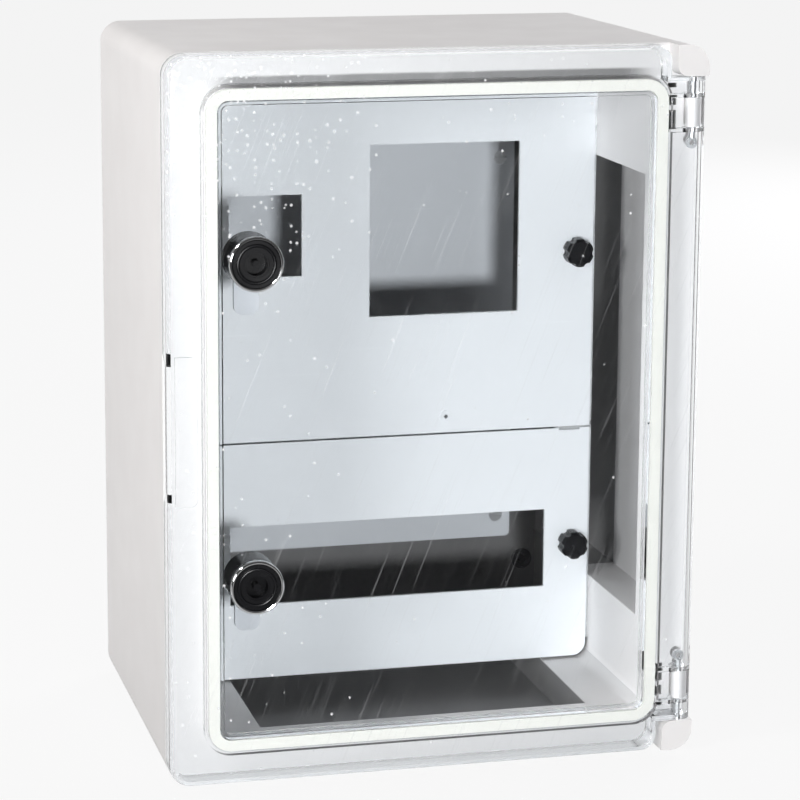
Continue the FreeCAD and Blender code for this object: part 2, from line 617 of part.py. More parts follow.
for sign, side in SIDES:
    ribs = (("inner", f"({KNUCKLE_START} - part_gap - hinge_rib)"), ("outer", f"({KNUCKLE_END} + part_gap)"))
    for name, low in ribs:
        sketch = at_height(door, f"{side}_{name}_rib_outline", f"{sign} * {low}")
        rectangle(sketch, f"{HALF_OPEN_X} + channel_outer", HINGE_X,
                  f"-{PANE_BACK} - pane / 2", f"-{HINGE_DEPTH}")
        pad(door, f"{side}_{name}_rib", sketch, "hinge_rib", backwards=sign < 0)
        sketch = at_height(door, f"{side}_{name}_eye_outline", f"{sign} * {low}")
        circle(sketch, HINGE_X, f"-{HINGE_DEPTH}", f"{SHELL_RADIUS} - skirt / 2")
        pad(door, f"{side}_{name}_eye", sketch, "hinge_rib", backwards=sign < 0)
    sketch = at_height(door, side + "_end_outline", f"{sign} * ({HINGE_END} - hinge_rib)")
    rectangle(sketch, f"{door_right} - skirt", HINGE_X, f"-{PANE_BACK} - pane / 2", f"-{DOOR_BACK}")
    pad(door, side + "_end", sketch, "hinge_rib", backwards=sign < 0)
    sketch = at_height(door, side + "_end_eye_outline", f"{sign} * ({HINGE_END} - hinge_rib)")
    circle(sketch, HINGE_X, f"-{HINGE_DEPTH}", SHELL_RADIUS)
    pad(door, side + "_end_eye", sketch, "hinge_rib", backwards=sign < 0)
    sketch = at_height(door, side + "_relief_outline", f"{sign} * ({KNUCKLE_START} - part_gap)")
    rectangle(sketch, HINGE_X, f"{HINGE_X} + {SHELL_RADIUS} + part_gap",
              f"-{HINGE_DEPTH} - knuckle_radius - relief_gap", f"-{DOOR_BACK}")
    pocket(door, side + "_relief", sketch, "knuckle_length + 2 * part_gap", backwards=sign > 0)
sketch = at_height(door, "door_bore_outline", "0")
circle(sketch, HINGE_X, f"-{HINGE_DEPTH}", "pin_radius + run_fit")
pocket(door, "door_bore", sketch, "box_height", both_ways=True)

sketch = at_depth(door, "channel_outlines", f"{PANE_BACK} - channel_depth")
opening_loop(sketch, "channel_outer + channel_rib")
opening_loop(sketch, "channel_outer")
opening_loop(sketch, "(-channel_inner)")
opening_loop(sketch, "(-channel_inner - channel_rib)")
pad(door, "gasket_channel", sketch, "channel_depth")

sketch = at_depth(door, "lock_hole_outlines", DOOR_FRONT)
circle(sketch, LOCK_X, "lock_z", "lock_boss_radius + run_fit")
circle(sketch, LOCK_X, "-lock_z", "lock_boss_radius + run_fit")
pocket(door, "lock_holes", sketch, "pane")

sketch = at_depth(door, "grip_outline", DOOR_FRONT)
rectangle(sketch, f"door_edge_radius - {HALF_WIDTH}", f"grip_width - {HALF_WIDTH}",
          "-grip_bottom", "grip_top")
pad(door, "grip", sketch, "grip_rise")
grip_x = size("grip_width") - outer_x
grip_front = door_front + size("grip_rise")
round_edges(door, "grip_corners", "grip_radius",
            lambda edge: along(edge, "y") and near(edge.Vertexes[0].X, grip_x) and min(
                vertex.Y for vertex in edge.Vertexes) < TOUCH - grip_front)
sketch = sketch_on(door, "finger_notch_outline", "YZ_Plane", f"-{HALF_WIDTH}")
outline(sketch, [
    (f"-{DOOR_BACK}", "-grip_bottom"), (f"-{DOOR_BACK} - notch_depth", "notch_slant - grip_bottom"),
    (f"-{DOOR_BACK} - notch_depth", "grip_top - notch_slant"), (f"-{DOOR_BACK}", "grip_top")])
pocket(door, "finger_notch", sketch, "skirt", backwards=True)

# door_gasket: soft ring in the channel, just in front of the collar.
gasket = new_body("door_gasket")
sketch = at_depth(gasket, "gasket_outline", f"{COLLAR_TIP} + part_gap")
opening_loop(sketch, "gasket_outer")
opening_loop(sketch, "(-gasket_inner)")
pad(gasket, "gasket_ring", sketch, f"{PANE_BACK} - {COLLAR_TIP} - part_gap")

# Two turn locks: housing, rubber washer, chrome ring, insert, cam and screw.
lock_parts = []
for sign, side in SIDES:
    lock_z = f"{sign} * lock_z"
    seat = f"({PANE_BACK} - lock_seal)"
    lock = new_body("lock_housing_" + side)
    sketch = at_depth(lock, side + "_barrel_outline", LOCK_BACK)
    circle(sketch, LOCK_X, lock_z, LOCK_RADIUS)
    pad(lock, side + "_barrel", sketch, f"{seat} - {LOCK_BACK}")
    sketch = at_depth(lock, side + "_boss_outline", seat)
    circle(sketch, LOCK_X, lock_z, "lock_boss_radius")
    pad(lock, side + "_boss", sketch, f"{LOCK_FRONT} - {seat}")
    sketch = at_depth(lock, side + "_rotor_bore_outline", LOCK_FRONT)
    circle(sketch, LOCK_X, lock_z, f"{ROTOR_RADIUS} + run_fit")
    pocket(lock, side + "_rotor_bore", sketch, f"{LOCK_FRONT} - {LOCK_BACK} - rotor_shoulder")
    sketch = at_depth(lock, side + "_shaft_hole_outline", f"{LOCK_BACK} + rotor_shoulder")
    circle(sketch, LOCK_X, lock_z, SHAFT_HOLE_RADIUS)
    pocket(lock, side + "_shaft_hole", sketch, "rotor_shoulder")

    washer = new_body("lock_seal_" + side)
    sketch = at_depth(washer, side + "_washer_outline", seat)
    circle(sketch, LOCK_X, lock_z, LOCK_RADIUS)
    circle(sketch, LOCK_X, lock_z, "lock_boss_radius + run_fit")
    pad(washer, side + "_washer", sketch, "lock_seal")

    bezel = new_body("lock_bezel_" + side)
    sketch = at_depth(bezel, side + "_ring_outline", DOOR_FRONT)
    circle(sketch, LOCK_X, lock_z, "lock_boss_radius + bezel_width")
    circle(sketch, LOCK_X, lock_z, "lock_boss_radius + run_fit")
    pad(bezel, side + "_ring", sketch, "bezel_rise")
    bezel_front = door_front + size("bezel_rise")
    bezel_radius = size("lock_boss_radius") + size("bezel_width")
    bevel_edges(bezel, side + "_ring_edge", "bezel_bevel",
                lambda edge: in_plane(edge, "y", -bezel_front) and near(edge.Curve.Radius, bezel_radius))

    insert = new_body("lock_insert_" + side)
    rotor_back = f"({LOCK_BACK} + rotor_shoulder + part_gap)"
    sketch = at_depth(insert, side + "_rotor_outline", rotor_back)
    circle(sketch, LOCK_X, lock_z, ROTOR_RADIUS)
    pad(insert, side + "_rotor", sketch, f"{LOCK_FRONT} - rotor_sink - {rotor_back}")
    sketch = at_depth(insert, side + "_shaft_outline", CAM_BACK)
    rectangle(sketch, f"{LOCK_X} - shaft_width / 2", f"{LOCK_X} + shaft_width / 2",
              f"{lock_z} - shaft_width / 2", f"{lock_z} + shaft_width / 2")
    pad(insert, side + "_shaft", sketch, f"{rotor_back} - {CAM_BACK}")
    sketch = at_depth(insert, side + "_key_outline", f"{LOCK_FRONT} - rotor_sink")
    circle(sketch, LOCK_X, lock_z, f"{ROTOR_RADIUS} - key_wall")
    circle(sketch, LOCK_X, lock_z, "key_pin_radius")
    pocket(insert, side + "_key_recess", sketch, "key_depth")
    sketch = at_depth(insert, side + "_screw_hole_outline", CAM_BACK)
    circle(sketch, LOCK_X, lock_z, "cam_screw_radius + run_fit")
    pocket(insert, side + "_screw_hole", sketch, "cam_screw_length + part_gap", backwards=True)

    cam = new_body("lock_cam_" + side)
    sketch = at_depth(cam, side + "_cam_outline", CAM_BACK)
    rounded(sketch, f"{LOCK_X} - cam_width / 2", f"{LOCK_X} + cam_width / 2",
            f"{lock_z} - cam_reach", f"{lock_z} + cam_width / 2", "cam_radius")
    rectangle(sketch, f"{LOCK_X} - shaft_width / 2 - run_fit", f"{LOCK_X} + shaft_width / 2 + run_fit",
              f"{lock_z} - shaft_width / 2 - run_fit", f"{lock_z} + shaft_width / 2 + run_fit")
    pad(cam, side + "_cam_plate", sketch, "cam_thickness")

    shank = rod(side + "_cam_screw_shank", "front", "cam_screw_radius", "cam_screw_length",
                LOCK_X, CAM_BACK, lock_z)
    head = hexagon(side + "_cam_screw_head", "back", "cam_head_radius", "cam_head_height",
                   LOCK_X, CAM_BACK, lock_z)
    screw = fused("cam_screw_" + side, [shank, head])
    screw.Label = "cam_screw_" + side
    lock_parts += [lock, washer, bezel, insert, cam, screw]

# Cover panels: two flat plates that meet at a narrow seam.
upper = new_body("upper_panel")
sketch = at_depth(upper, "upper_panel_outline", "panel_back")
rectangle(sketch, f"-{PANEL_HALF}", PANEL_HALF, "seam_gap / 2 - seam_z", PANEL_END)
pad(upper, "upper_plate", sketch, "panel")
sketch = at_depth(upper, "seal_eye_outline", PANEL_FRONT)
circle(sketch, "eye_x", "-eye_z", "eye_radius")
pad(upper, "seal_eye", sketch, "eye_rise")
sketch = at_depth(upper, "upper_window_outlines", PANEL_FRONT)
rectangle(sketch, "-meter_left", "meter_width - meter_left", "meter_bottom", "meter_bottom + meter_height")
rectangle(sketch, f"-{WINDOW_HALF}", f"small_width - {WINDOW_HALF}",
          "small_bottom", "small_bottom + small_height")
circle(sketch, KNOB_X, "knob_upper_z", "stem_radius + part_gap")
circle(sketch, f"-{KNOB_X}", "knob_upper_z", "stem_radius + part_gap")
pocket(upper, "upper_windows", sketch, "panel")
sketch = at_depth(upper, "seal_eye_hole_outline", f"{PANEL_FRONT} + eye_rise")
circle(sketch, "eye_x", "-eye_z", "eye_hole")
pocket(upper, "seal_eye_hole", sketch, "panel + eye_rise")

lower = new_body("lower_panel")
notch_top = "(-seam_z - seam_gap / 2)"
notch_right = f"({PANEL_HALF} - seam_notch_side)"
notch_left = f"({PANEL_HALF} - seam_notch_side - seam_notch_width)"
sketch = at_depth(lower, "lower_panel_outline", "panel_back")
outline(sketch, [
    (f"-{PANEL_HALF}", f"-{PANEL_END}"), (PANEL_HALF, f"-{PANEL_END}"), (PANEL_HALF, notch_top),
    (notch_right, notch_top), (notch_right, f"{notch_top} - seam_notch_depth"),
    (notch_left, f"{notch_top} - seam_notch_depth"), (notch_left, notch_top),
    (f"-{PANEL_HALF}", notch_top)])
pad(lower, "lower_plate", sketch, "panel")
sketch = at_depth(lower, "lower_window_outlines", PANEL_FRONT)
rectangle(sketch, f"-{WINDOW_HALF}", WINDOW_HALF, "-rail_window_top - rail_window_height", "-rail_window_top")
circle(sketch, KNOB_X, "-knob_lower_z", "stem_radius + part_gap")
circle(sketch, f"-{KNOB_X}", "-knob_lower_z", "stem_radius + part_gap")
pocket(lower, "lower_windows", sketch, "panel")
panel_x = outer_x - size("border_side") - size("panel_gap")
panel_z = outer_z - size("border_end") - size("panel_end_gap")
for body in (upper, lower):
    round_edges(body, body.Label + "_corners", "panel_radius", lambda edge: corner(edge, panel_x, panel_z))

# Quarter-turn knobs, each with a latch tab that grips behind its side rail.
knob_parts = []
for sign, side in SIDES:
    for way, hand in ((-1, "left"), (1, "right")):
        spot = f"{side}_{hand}"
        spot_x = f"{way} * {KNOB_X}"
        spot_z = f"{sign} * knob_{side}_z"
        knob = new_body("panel_knob_" + spot)
        head_outline = at_depth(knob, spot + "_head_outline", f"{PANEL_FRONT} + part_gap")
        circle(head_outline, "0", "0", "knob_radius")
        pad(knob, spot + "_head", head_outline, "knob_height")
        sketch = at_depth(knob, spot + "_stem_outline", LATCH_BACK)
        circle(sketch, "0", "0", "stem_radius")
        pad(knob, spot + "_stem", sketch, f"{PANEL_FRONT} + part_gap - {LATCH_BACK}")
        knob_front = sum(size(name) for name in ("panel_back", "panel", "part_gap", "knob_height"))
        bevel_edges(knob, spot + "_head_edge", "knob_bevel", lambda edge: in_plane(edge, "y", -knob_front))
        sketch = at_depth(knob, spot + "_hollow_outline", f"{PANEL_FRONT} + part_gap + knob_height")
        circle(sketch, "knob_radius + knob_hollow_out", "0", "knob_hollow_radius")
        hollow = pocket(knob, spot + "_hollow", sketch, "knob_height")
        ring = knob.newObject("PartDesign::PolarPattern", spot + "_hollows")
        ring.Originals = [hollow]
        ring.Axis = (head_outline, ["N_Axis"])
        ring.Angle = 360
        ring.setExpression("Occurrences", formula("knob_lobes"))
        knob.Tip = ring
        place(knob, spot_x, "0", spot_z)

        latch = new_body("knob_latch_" + spot)
        sketch = at_depth(latch, spot + "_latch_outline", LATCH_BACK)
        rectangle(sketch, "-latch_reach", "latch_reach", "-latch_half_width", "latch_half_width")
        circle(sketch, "0", "0", "stem_radius + run_fit")
        pad(latch, spot + "_latch_plate", sketch, "latch_thickness")
        place(latch, spot_x, "0", spot_z)
        knob_parts += [knob, latch]

# Side rails: angle strips against the columns, slotted for the latch tabs.
rails = []
for way, hand in ((-1, "left"), (1, "right")):
    rail = new_body("side_rail_" + hand)
    rail_outer = HALF_OPEN_X
    sketch = at_height(rail, hand + "_rail_outline", f"-{RAIL_HALF}")
    outline(sketch, [(f"{way} * ({x})", f"-({depth})") for x, depth in (
        (f"{rail_outer} - rail_width", "panel_back"), (rail_outer, "panel_back"),
        (rail_outer, "panel_back - rail_depth"), (f"{rail_outer} - rail_sheet", "panel_back - rail_depth"),
        (f"{rail_outer} - rail_sheet", RAIL_BACK), (f"{rail_outer} - rail_width", RAIL_BACK))])
    pad(rail, hand + "_rail_strip", sketch, f"2 * {RAIL_HALF}")
    sketch = at_depth(rail, hand + "_rail_slot_outlines", "panel_back")
    for height in ("knob_upper_z", "-knob_lower_z"):
        rectangle(sketch, f"{way} * {KNOB_X} - latch_half_width - latch_play",
                  f"{way} * {KNOB_X} + latch_half_width + latch_play",
                  f"{height} - latch_reach - latch_play", f"{height} + latch_reach + latch_play")
    pocket(rail, hand + "_rail_slots", sketch, "rail_sheet")
    sketch = sketch_on(rail, hand + "_rail_hole_outlines", "YZ_Plane", "0")
    circle(sketch, f"-{RAIL_SCREW_DEPTH}", RAIL_SCREW_Z, "rail_screw_radius + run_fit")
    circle(sketch, f"-{RAIL_SCREW_DEPTH}", f"-{RAIL_SCREW_Z}", "rail_screw_radius + run_fit")
    pocket(rail, hand + "_rail_holes", sketch, f"2 * {HALF_OPEN_X}", both_ways=True)
    rails.append(rail)

rail_screws = []
for way, direction, opposite in ((1, "right", "left"), (-1, "left", "right")):
    for sign, side in SIDES:
        spot = f"{direction}_{side}_rail_screw"
        seat_x = f"{way} * ({HALF_OPEN_X} - rail_sheet)"
        shank = rod(spot + "_shank", direction, "rail_screw_radius", "rail_screw_length",
                    seat_x, RAIL_SCREW_DEPTH, f"{sign} * {RAIL_SCREW_Z}")
        head = hexagon(spot + "_head", opposite, "rail_head_radius", "rail_head_height",
                       seat_x, RAIL_SCREW_DEPTH, f"{sign} * {RAIL_SCREW_Z}")
        rail_screws.append(fused(spot, [shank, head]))

# mounting_plate: sheet on the four bosses of the back wall.
plate = new_body("mounting_plate")
sketch = at_depth(plate, "plate_outline", "wall + boss_height")
centred(sketch, PLATE_HALF_X, PLATE_HALF_Z, "plate_radius")
for x in (PLATE_SCREW_X, f"-{PLATE_SCREW_X}"):
    for z in (PLATE_SCREW_Z, f"-{PLATE_SCREW_Z}"):
        circle(sketch, x, z, "plate_screw_radius + part_gap")
pad(plate, "plate_sheet", sketch, "plate")
plate_front = size("wall") + size("boss_height") + size("plate")
bevel_edges(plate, "countersinks",
            "plate_head_radius + plate_head_sink + run_fit - plate_screw_radius - part_gap",
            lambda edge: len(edge.Vertexes) == 1 and in_plane(edge, "y", -plate_front))

plate_screws = []
washers = []
for way in (1, -1):
    for sign, side in SIDES:
        spot = f"{side}_{'right' if way > 0 else 'left'}"
        x = f"{way} * {PLATE_SCREW_X}"
        z = f"{sign} * {PLATE_SCREW_Z}"
        head_front = f"({PLATE_FRONT} - plate_head_sink)"
        shank = rod(spot + "_plate_screw_shank", "back", "plate_screw_radius", "plate_screw_length",
                    x, head_front, z)
        head = doc.addObject("Part::Cone", spot + "_plate_screw_head")
        head.Placement.Rotation = WAYS["back"]
        head.setExpression("Radius1", formula("plate_head_radius"))
        head.setExpression("Radius2", formula("plate_screw_radius"))
        head.setExpression("Height", formula("plate_head_radius - plate_screw_radius"))
        place(head, x, head_front, z)
        slot = block(spot + "_plate_screw_slot", f"{x} - plate_head_radius", f"{x} + plate_head_radius",
                     f"{head_front} - slot_cut", PLATE_FRONT, f"{z} - slot_cut / 2", f"{z} + slot_cut / 2")
        solid = fused(spot + "_plate_screw_solid", [shank, head])
        plate_screws.append(cut(spot + "_plate_screw", solid, slot))
        x = f"{way} * {WALL_HOLE_X}"
        z = f"{sign} * {WALL_HOLE_Z}"
        disc = rod(spot + "_washer_disc", "front", "washer_radius", "washer_thickness", x, "wall", z)
        hole = rod(spot + "_washer_hole", "front", "washer_hole_radius", "washer_thickness", x, "wall", z)
        washers.append(cut(spot + "_wall_washer", disc, hole))

pieces = [housing, door, gasket, upper, lower, plate]
pieces += pins + lock_parts + knob_parts + rails
pieces.append(grouped("side_rail_screws", rail_screws))
pieces.append(grouped("mounting_plate_screws", plate_screws))
pieces.append(grouped("wall_hole_washers", washers))

doc.recompute()
for item in doc.Objects:
    faults = [state for state in item.State if state in ("Invalid", "Error")]
    if faults:
        raise RuntimeError("%s: %s" % (item.Name, ", ".join(faults)))
os.makedirs("parts", exist_ok=True)
for piece in pieces:
    if piece.Shape.isNull() or not piece.Shape.isValid():
        raise RuntimeError(piece.Label + ": no valid shape")
for piece in pieces:
    piece.Shape.exportStep("parts/" + piece.Label + ".step")
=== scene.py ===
import math
import bpy
from mathutils import Matrix, Vector


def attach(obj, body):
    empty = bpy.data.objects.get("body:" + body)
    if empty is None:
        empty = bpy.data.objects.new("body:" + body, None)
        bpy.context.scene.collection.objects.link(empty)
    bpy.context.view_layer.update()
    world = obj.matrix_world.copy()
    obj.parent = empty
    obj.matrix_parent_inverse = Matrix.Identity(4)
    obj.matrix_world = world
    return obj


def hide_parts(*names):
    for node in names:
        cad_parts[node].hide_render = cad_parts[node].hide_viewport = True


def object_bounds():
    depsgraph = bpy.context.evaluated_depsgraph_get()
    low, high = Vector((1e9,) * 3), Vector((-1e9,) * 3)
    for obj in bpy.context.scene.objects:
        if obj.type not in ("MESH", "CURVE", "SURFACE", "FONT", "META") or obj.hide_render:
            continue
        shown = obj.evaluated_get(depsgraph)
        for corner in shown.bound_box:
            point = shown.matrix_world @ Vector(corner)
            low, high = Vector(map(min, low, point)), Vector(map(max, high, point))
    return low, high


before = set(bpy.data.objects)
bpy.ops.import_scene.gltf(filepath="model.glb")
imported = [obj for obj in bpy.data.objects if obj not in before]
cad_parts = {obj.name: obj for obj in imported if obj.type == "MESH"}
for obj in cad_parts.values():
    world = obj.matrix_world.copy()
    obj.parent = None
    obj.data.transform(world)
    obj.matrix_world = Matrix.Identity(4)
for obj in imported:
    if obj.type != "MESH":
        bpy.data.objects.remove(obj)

cad_bounds = [list(corner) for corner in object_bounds()]

# View of the box: a long lens from the front left and a little above, as a
# product picture of a wall box is usually taken, with the frame shifted a little.
view_place = Vector((-0.4051, -1.6629, 0.3416))
yaw, pitch, roll = math.radians(13.19), math.radians(10.87), math.radians(0.09)
sensor_width, frame_pixels, focal_pixels = 36, 800, 2825.25
ahead = Vector((math.sin(yaw) * math.cos(pitch), math.cos(yaw) * math.cos(pitch), -math.sin(pitch)))
level = Vector((math.cos(yaw), -math.sin(yaw), 0))
upward = level.cross(ahead)
right = math.cos(roll) * level + math.sin(roll) * upward
upward = right.cross(ahead)
turn = Matrix((right, upward, -ahead)).transposed().to_4x4()
camera = bpy.data.objects.new("view_camera", bpy.data.cameras.new("view_camera"))
camera.data.sensor_width = sensor_width
camera.data.lens = sensor_width * focal_pixels / frame_pixels
camera.data.shift_x = 0.1
camera.data.shift_y = -0.1
camera.data.clip_end = 20
camera.matrix_world = Matrix.Translation(view_place) @ turn
bpy.context.collection.objects.link(camera)
bpy.context.scene.camera = camera
bpy.context.scene.view_settings.view_transform = "Standard"


# Studio board: a matte white sheet under the box. The camera sees it as nearly
# plain white with the soft shadow of the box on it, and shiny parts see it fade
# from white behind the box to dark in front of it.
def blank_tree(owner):
    # The node tree of a material or world, with nothing in it.
    owner.use_nodes = True
    owner.node_tree.nodes.clear()
    return owner.node_tree


def put(tree, kind, inputs=None, **settings):
    # One node, with its inputs set to a value or fed from another node's output.
    made = tree.nodes.new("ShaderNode" + kind)
    for name, value in settings.items():
        setattr(made, name, value)
    for name, value in (inputs or {}).items():
        if isinstance(value, bpy.types.NodeSocket):
            tree.links.new(value, made.inputs[name])
        else:
            made.inputs[name].default_value = value
    return made


def worked_out(tree, operation, *values):
    # One number worked out from others.
    return put(tree, "Math", dict(enumerate(values)), operation=operation).outputs[0]


def ramp(tree, value, start, end, before, after, interpolation_type="SMOOTHSTEP"):
    # A change from one number to another as the value goes from start to end.
    return put(tree, "MapRange", {"Value": value, "From Min": start, "From Max": end, "To Min": before,
                                  "To Max": after}, interpolation_type=interpolation_type).outputs[0]


def along_axes(tree, vector):
    # The X, Y and Z of a vector.
    return put(tree, "SeparateXYZ", {0: vector}).outputs


def mixed(tree, share, first, second):
    # The first shader where the share is 0, and the second where it is 1.
    return put(tree, "MixShader", {0: share, 1: first, 2: second}).outputs[0]


board_width, board_gap, board_glow = 12, 0.0005, 0.9
board_front, board_middle = -0.9, 0.3
dark_mirror, full_mirror = 0.05, 1.0
plain_white = (1, 1, 1, 1)

bpy.ops.object.select_all(action="DESELECT")
bpy.ops.mesh.primitive_plane_add(size=board_width, location=(0, 0, cad_bounds[0][2] - board_gap))
board = bpy.context.object
board.name = "studio_board"
board_white = bpy.data.materials.new("board_white")
tree = blank_tree(board_white)
rays = put(tree, "LightPath").outputs
seen = worked_out(tree, "MAXIMUM", rays["Is Camera Ray"], rays["Is Transmission Ray"])
share = worked_out(tree, "MULTIPLY", seen, board_glow)
matte = put(tree, "BsdfDiffuse", {"Color": (0.50, 0.50, 0.50, 1)}).outputs[0]
glow = put(tree, "Emission", {"Color": plain_white}).outputs[0]
place = along_axes(tree, put(tree, "TexCoord").outputs["Object"])
fading = ramp(tree, place["Y"], board_front, board_middle, dark_mirror, full_mirror)
mirror = put(tree, "Emission", {"Color": plain_white, "Strength": fading}).outputs[0]
blend = mixed(tree, rays["Is Glossy Ray"], mixed(tree, share, matte, glow), mirror)
put(tree, "OutputMaterial", {"Surface": blend})
board_white.cycles.emission_sampling = "NONE"
board.data.materials.append(board_white)

# Studio room: dim soft light from all round. The camera sees it as plain white.
# Shiny parts, and rays through the clear door, see it white behind the box and
# dark in front of it.
room = bpy.data.worlds.new("studio_room")
bpy.context.scene.world = room
tree = blank_tree(room)
rays = put(tree, "LightPath").outputs
heading = along_axes(tree, put(tree, "TexCoord").outputs["Generated"])
backdrop = ramp(tree, heading["Y"], -0.3, 0.4, dark_mirror, full_mirror)
dim = put(tree, "Background", {"Color": (0.94, 0.96, 1.0, 1), "Strength": 0.06}).outputs[0]
mirror = put(tree, "Background", {"Color": plain_white, "Strength": backdrop}).outputs[0]
white = put(tree, "Background", {"Color": plain_white, "Strength": 1.0}).outputs[0]
bent = worked_out(tree, "MAXIMUM", rays["Is Glossy Ray"], rays["Is Transmission Ray"])
blend = mixed(tree, rays["Is Camera Ray"], mixed(tree, bent, dim, mirror), white)
put(tree, "OutputWorld", {"Surface": blend})

# Lamps: round ones, each with its watts, width, place and colour. A small one in
# front, two at the left side, and a wide one behind at the right light every side.
lamp_target = Vector((0, -0.1, 0))
for name, watts, width, place, colour in (
        ("front_lamp", 17.0, 0.18, (-0.16, -1.76, 0.02), (0.98, 0.99, 1.0)),
        ("left_lamp", 12.5, 0.30, (-1.1, -0.4, 1.1), (1.0, 0.97, 0.955)),
        ("side_lamp", 23.0, 0.7, (-1.8, -1.65, 0.40), (1.0, 1.0, 1.0)),
        ("back_lamp", 54.0, 1.2, (1.7, 1.6, 0.65), (0.98, 0.97, 1.0))):
    lamp = bpy.data.objects.new(name, bpy.data.lights.new(name, "AREA"))
    lamp.data.energy = watts
    lamp.data.shape = "DISK"
    lamp.data.size = width
    lamp.data.color = colour
    lamp.location = place
    lamp.rotation_euler = (lamp_target - Vector(place)).to_track_quat("-Z", "Y").to_euler()
    lamp.visible_camera = False
    lamp.visible_transmission = False
    bpy.context.collection.objects.link(lamp)


# Housing: one injection moulding in pale grey-white plastic, half glossy, with a
# fine eroded texture, faint flow marks and rubbed places. Painted shade darkens its
# recesses, its inside behind the panels and the gutter of its flange, and painted
# light makes the flange under the hinge edge paler.
def effect_group(name, inputs, outputs):
    # An empty group of effect nodes with named inputs and outputs.
    group = bpy.data.node_groups.new(name, "ShaderNodeTree")
    for label, start in inputs:
        kind = "NodeSocketColor" if isinstance(start, tuple) else "NodeSocketFloat"
        socket = group.interface.new_socket(name=label, in_out="INPUT", socket_type=kind)
        socket.default_value = start
    for label, kind in outputs:
        group.interface.new_socket(name=label, in_out="OUTPUT", socket_type=kind)
    return group, group.nodes.new("NodeGroupInput").outputs, group.nodes.new("NodeGroupOutput").inputs


moulded, given, result = effect_group(
    "moulded_surface",
    (("Base", (0.8, 0.8, 0.8, 1.0)), ("Drift", 0.04), ("Grain Size", 1400.0),
     ("Gloss Low", 0.38), ("Gloss High", 0.52), ("Scratches", 0.1)),
    (("Color", "NodeSocketColor"), ("Roughness", "NodeSocketFloat"), ("Height", "NodeSocketFloat")))
spot = put(moulded, "TexCoord").outputs["Object"]
cloud = put(moulded, "TexNoise", {"Vector": spot, "Scale": 9.0, "Detail": 4.0}).outputs["Fac"]
grain = put(moulded, "TexNoise", {"Vector": spot, "Scale": given["Grain Size"], "Detail": 2.0}).outputs["Fac"]
smudge = put(moulded, "TexNoise", {"Vector": spot, "Scale": 34.0, "Detail": 6.0}).outputs["Fac"]
drawn_out = put(moulded, "Mapping", {"Vector": spot, "Rotation": (0.0, -0.7, 0.0),
                                     "Scale": (12.0, 900.0, 900.0)}).outputs[0]
streaks = put(moulded, "TexNoise", {"Vector": drawn_out, "Scale": 1.0, "Detail": 1.0}).outputs["Fac"]
scratch = ramp(moulded, streaks, 0.68, 0.78, 0.0, 1.0, "LINEAR")
marks = worked_out(moulded, "MULTIPLY", scratch, given["Scratches"])
swing = ramp(moulded, cloud, 0.3, 0.7, -1.0, 1.0, "LINEAR")
drift = worked_out(moulded, "MULTIPLY_ADD", swing, given["Drift"], 1.0)
shade = worked_out(moulded, "ADD", drift, marks)
tint = put(moulded, "VectorMath", {0: given["Base"], "Scale": shade}, operation="SCALE").outputs[0]
polish = ramp(moulded, smudge, 0.35, 0.65, given["Gloss Low"], given["Gloss High"], "LINEAR")
moulded.links.new(tint, result["Color"])
moulded.links.new(worked_out(moulded, "ADD", polish, marks), result["Roughness"])
moulded.links.new(worked_out(moulded, "SUBTRACT", grain, marks), result["Height"])


def finish_of(name, base, drift, grain_size, gloss, bump, scratches=0.05, specular=0.5, metal=0.0):
    # A material on the moulded surface, with its own colour, gloss and grain.
    bump_height = 0.0004
    material = bpy.data.materials.new(name)
    material.use_nodes = True
    tree = material.node_tree
    shader = tree.nodes["Principled BSDF"]
    shader.inputs["Specular IOR Level"].default_value = specular
    shader.inputs["Metallic"].default_value = metal
    group = put(tree, "Group", node_tree=moulded)
    for label, value in (("Base", (*base, 1)), ("Drift", drift), ("Grain Size", grain_size),
                         ("Gloss Low", gloss[0]), ("Gloss High", gloss[1]), ("Scratches", scratches)):
        group.inputs[label].default_value = value
    dents = put(tree, "Bump", {"Strength": bump, "Distance": bump_height, "Height": group.outputs["Height"]})
    tree.links.new(group.outputs["Color"], shader.inputs["Base Color"])
    tree.links.new(group.outputs["Roughness"], shader.inputs["Roughness"])
    tree.links.new(dents.outputs[0], shader.inputs["Normal"])
    return material


def dress(names, material):
    # Puts one material on CAD nodes.
    for name in names:
        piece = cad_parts[name]
        piece.data.materials.clear()
        piece.data.materials.append(material)


def product(tree, *factors):
    # The factors multiplied together.
    total = factors[0]
    for factor in factors[1:]:
        total = worked_out(tree, "MULTIPLY", total, factor)
    return total


def within(tree, value, low, high):
    # 1 where the value lies between low and high, and 0 elsewhere.
    return worked_out(tree, "COMPARE", value, (low + high) / 2, (high - low) / 2)


def shade_base(material, factor):
    # Puts a factor of painted light and shade between the moulded surface's colour and the shader.
    tree = material.node_tree
    base = tree.nodes["Principled BSDF"].inputs["Base Color"]
    colour = base.links[0].from_socket
    shaded = put(tree, "VectorMath", {0: colour, "Scale": factor}, operation="SCALE")
    tree.links.new(shaded.outputs[0], base)


housing_plastic = finish_of("housing_plastic", (0.74, 0.725, 0.72), drift=0.015, grain_size=1500,
                            gloss=(0.36, 0.46), bump=0.02, scratches=0.0)
# Strengths of the painted shade in the recesses, the gutter and the inside, and of the painted light on the flange.
recess_painted_shade, gutter_painted_shade, flange_painted_light, inside_painted_shade = 0.34, 0.3, 1.28, 0.2
back_wall, panel_rear, opening_wall, anywhere = -0.0015, -0.1080, 0.1242, -0.1
tree = housing_plastic.node_tree
spot = put(tree, "TexCoord").outputs["Object"]
place = along_axes(tree, spot)
apart = along_axes(tree, put(tree, "VectorMath", {0: spot}, operation="ABSOLUTE").outputs[0])
